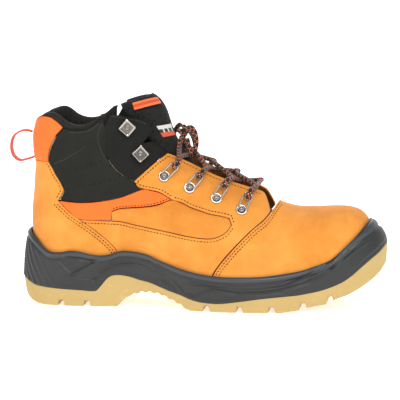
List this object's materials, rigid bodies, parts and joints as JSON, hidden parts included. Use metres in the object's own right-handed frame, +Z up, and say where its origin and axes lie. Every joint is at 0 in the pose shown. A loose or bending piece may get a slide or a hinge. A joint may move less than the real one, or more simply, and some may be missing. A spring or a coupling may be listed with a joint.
{
  "type": "steel toe work boot",
  "caption": "Mid-cut lace-up safety boot with a steel toe cap, moulded cleated sole, padded collar and tongue, D-rings, lace hooks and a heel pull loop.",
  "frame": {"origin": "on the ground under the heel tread, on the sole's middle line, 55 mm ahead of the sole's rearmost point", "axes": "+X towards the toe, -Y towards the outer side of this right boot, +Z up"},
  "size_m": [0.3166, 0.1041, 0.1775],
  "materials": {
    "outsole": "matte moulded rubber",
    "midsole": "satin foamed polyurethane",
    "steel": "plain pressed steel",
    "board": "fibre board",
    "footbed": "textile covered foam",
    "nubuck": "sanded nubuck",
    "felt": "felt",
    "strip_rubber": "soft rubber",
    "lining": "spacer mesh lining",
    "orange_synthetic": "smooth coated synthetic",
    "black_panel": "perforated matte synthetic",
    "black_textile": "padded mesh textile",
    "stiffener": "moulded thermoplastic",
    "foam": "open cell foam",
    "webbing": "woven webbing",
    "label": "woven label",
    "nickel": "polished nickel plate",
    "lace": "round braided lace",
    "aglet_plastic": "clear coated black plastic"
  },
  "bodies": {
    "boot": {"outsole": "outsole", "midsole": "midsole", "shank": "steel", "insole_board": "board", "footbed": "footbed", "vamp": "nubuck", "vamp_backing": "felt", "toe_cap": "steel", "toe_cap_edge_strip": "strip_rubber", "vamp_lining": "lining", "quarter_lateral": "nubuck", "quarter_medial": "nubuck", "quarter_insert_lateral": "nubuck", "quarter_insert_medial": "nubuck", "orange_panel_lateral": "orange_synthetic", "orange_panel_medial": "orange_synthetic", "ankle_panel_lateral": "black_panel", "ankle_panel_medial": "black_panel", "hook_panel_lateral": "black_panel", "hook_panel_medial": "black_panel", "heel_counter_cover": "nubuck", "heel_tab": "orange_synthetic", "heel_stiffener": "stiffener", "ankle_foam": "foam", "quarter_lining": "lining", "collar": "black_textile", "d_rings_lateral": "nickel", "d_rings_medial": "nickel", "d_ring_rivets_lateral": "nickel", "d_ring_rivets_medial": "nickel", "lace_hooks_lateral": "nickel", "lace_hooks_medial": "nickel", "hook_rivets_lateral": "nickel", "hook_rivets_medial": "nickel", "shoelace": "lace", "lace_knot": "lace", "lace_bow": "lace", "lace_tail_front": "lace", "lace_tail_rear": "lace", "aglet_front": "aglet_plastic", "aglet_rear": "aglet_plastic"},
    "tongue_flap": {"tongue": "black_textile", "tongue_lining": "lining", "tongue_loop": "webbing", "tongue_label": "label"},
    "heel_pull": {"pull_loop": "webbing"}
  },
  "joints": [
    {"name": "tongue_tilt", "type": "hinge", "parent": "boot", "child": "tongue_flap", "pos_m": [0.1555, 0, 0.0785], "axis": [0, -1, 0], "range_deg": [0, 9]},
    {"name": "pull_loop_swing", "type": "hinge", "parent": "boot", "child": "heel_pull", "pos_m": [-0.0478, 0, 0.13], "axis": [0, 0, 1], "range_deg": [-15, 15]}
  ]
}
